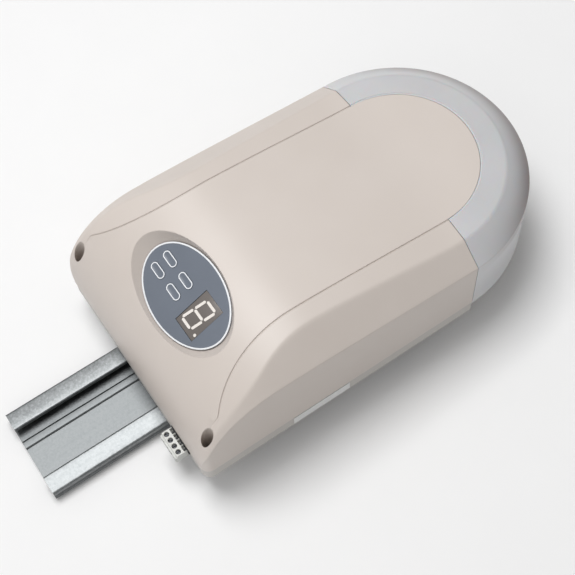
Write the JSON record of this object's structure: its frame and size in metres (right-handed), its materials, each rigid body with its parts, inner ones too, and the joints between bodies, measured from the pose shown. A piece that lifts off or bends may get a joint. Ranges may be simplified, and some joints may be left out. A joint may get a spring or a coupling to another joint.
{
  "type": "garage door opener head",
  "caption": "Ceiling garage door opener head with a rounded rear light, an oval key panel with a digit display, and the near end of its slotted rail.",
  "frame": {"origin": "middle of the tray's front edge, on the tray's underside", "axes": "+Z out of the cover, away from the ceiling side; -Y along the rail towards the door; +X to the terminal block's side"},
  "size_m": [0.185, 0.41, 0.116],
  "materials": {
    "cover": "fine satin moulding",
    "tray": "satin moulding",
    "lens": "translucent diffuser",
    "panel": "printed sheet",
    "white_print": "printed line",
    "dark_plastic": "gloss",
    "segments": "gloss",
    "zinc": "galvanised",
    "fastener": "zinc plated",
    "steel": "machined",
    "casting": "die cast",
    "bronze": "machined",
    "board": "solder resist",
    "black_plastic": "moulded",
    "white_plastic": "moulded",
    "copper": "enamelled wire",
    "core": "laminations",
    "magnet": "ferrite",
    "can": "passivated",
    "led": "phosphor",
    "label": "blank label",
    "heatsink": "extruded"
  },
  "bodies": {
    "head": {"main_cover": "cover", "base_tray": "tray", "light_lens": "lens", "side_label": "label", "cable_gland": "black_plastic", "cover_screws": "fastener", "lens_screws": "fastener", "chassis_plate": "zinc", "mounting_nuts": "fastener", "rail": "zinc", "rail_spacers": "black_plastic", "rail_clamp_front": "zinc", "rail_clamp_rear": "zinc", "clamp_bolts": "fastener", "clamp_nuts": "fastener", "panel_plate": "panel", "panel_ring": "white_print", "panel_board": "board", "panel_switches": "black_plastic", "display_module": "dark_plastic", "display_segments": "segments", "control_board": "board", "board_screws": "fastener", "board_relays": "black_plastic", "board_capacitors": "black_plastic", "board_chips": "black_plastic", "heat_sink": "heatsink", "terminal_header": "black_plastic", "terminal_plug": "white_plastic", "terminal_screws": "fastener", "transformer_core": "core", "transformer_coil": "copper", "transformer_screws": "fastener", "gearbox_housing": "casting", "gearbox_cover": "casting", "gearbox_cover_screws": "fastener", "gearbox_bolts": "fastener", "gearbox_nuts": "fastener", "output_bearings": "steel", "worm_bushes": "bronze", "motor_can": "can", "motor_end_cap": "black_plastic", "motor_magnets": "magnet", "encoder_sensor": "black_plastic", "lamp_board": "board", "lamp_leds": "led", "lamp_screws": "fastener"},
    "set_key": {"button_set": "panel"},
    "learn_key": {"button_learn": "panel"},
    "up_key": {"button_up": "panel"},
    "down_key": {"button_down": "panel"},
    "drive_output": {"output_shaft": "steel", "worm_wheel": "bronze", "drive_sprocket": "steel"},
    "motor_rotor": {"worm_shaft": "steel", "armature": "copper", "encoder_disc": "black_plastic"}
  },
  "joints": [
    {"name": "set_press", "type": "slide", "parent": "head", "child": "set_key", "axis": [0, 0.433, -0.9014], "range_m": [0, 0.0008], "stiffness_N_per_m": 1500, "springref_m": -0.0002},
    {"name": "learn_press", "type": "slide", "parent": "head", "child": "learn_key", "axis": [0, 0.433, -0.9014], "range_m": [0, 0.0008], "stiffness_N_per_m": 1500, "springref_m": -0.0002},
    {"name": "up_press", "type": "slide", "parent": "head", "child": "up_key", "axis": [0, 0.433, -0.9014], "range_m": [0, 0.0008], "stiffness_N_per_m": 1500, "springref_m": -0.0002},
    {"name": "down_press", "type": "slide", "parent": "head", "child": "down_key", "axis": [0, 0.433, -0.9014], "range_m": [0, 0.0008], "stiffness_N_per_m": 1500, "springref_m": -0.0002},
    {"name": "output_spin", "type": "hinge", "parent": "head", "child": "drive_output", "pos_m": [0, 0.11997, 0.03], "axis": [0, 0, 1], "continuous": true},
    {"name": "motor_spin", "type": "hinge", "parent": "head", "child": "motor_rotor", "pos_m": [0.039, 0.11997, 0.03], "axis": [0, 1, 0], "continuous": true}
  ],
  "couplings": [
    {"joint": "motor_spin", "follows": "output_spin", "ratio": -40}
  ]
}
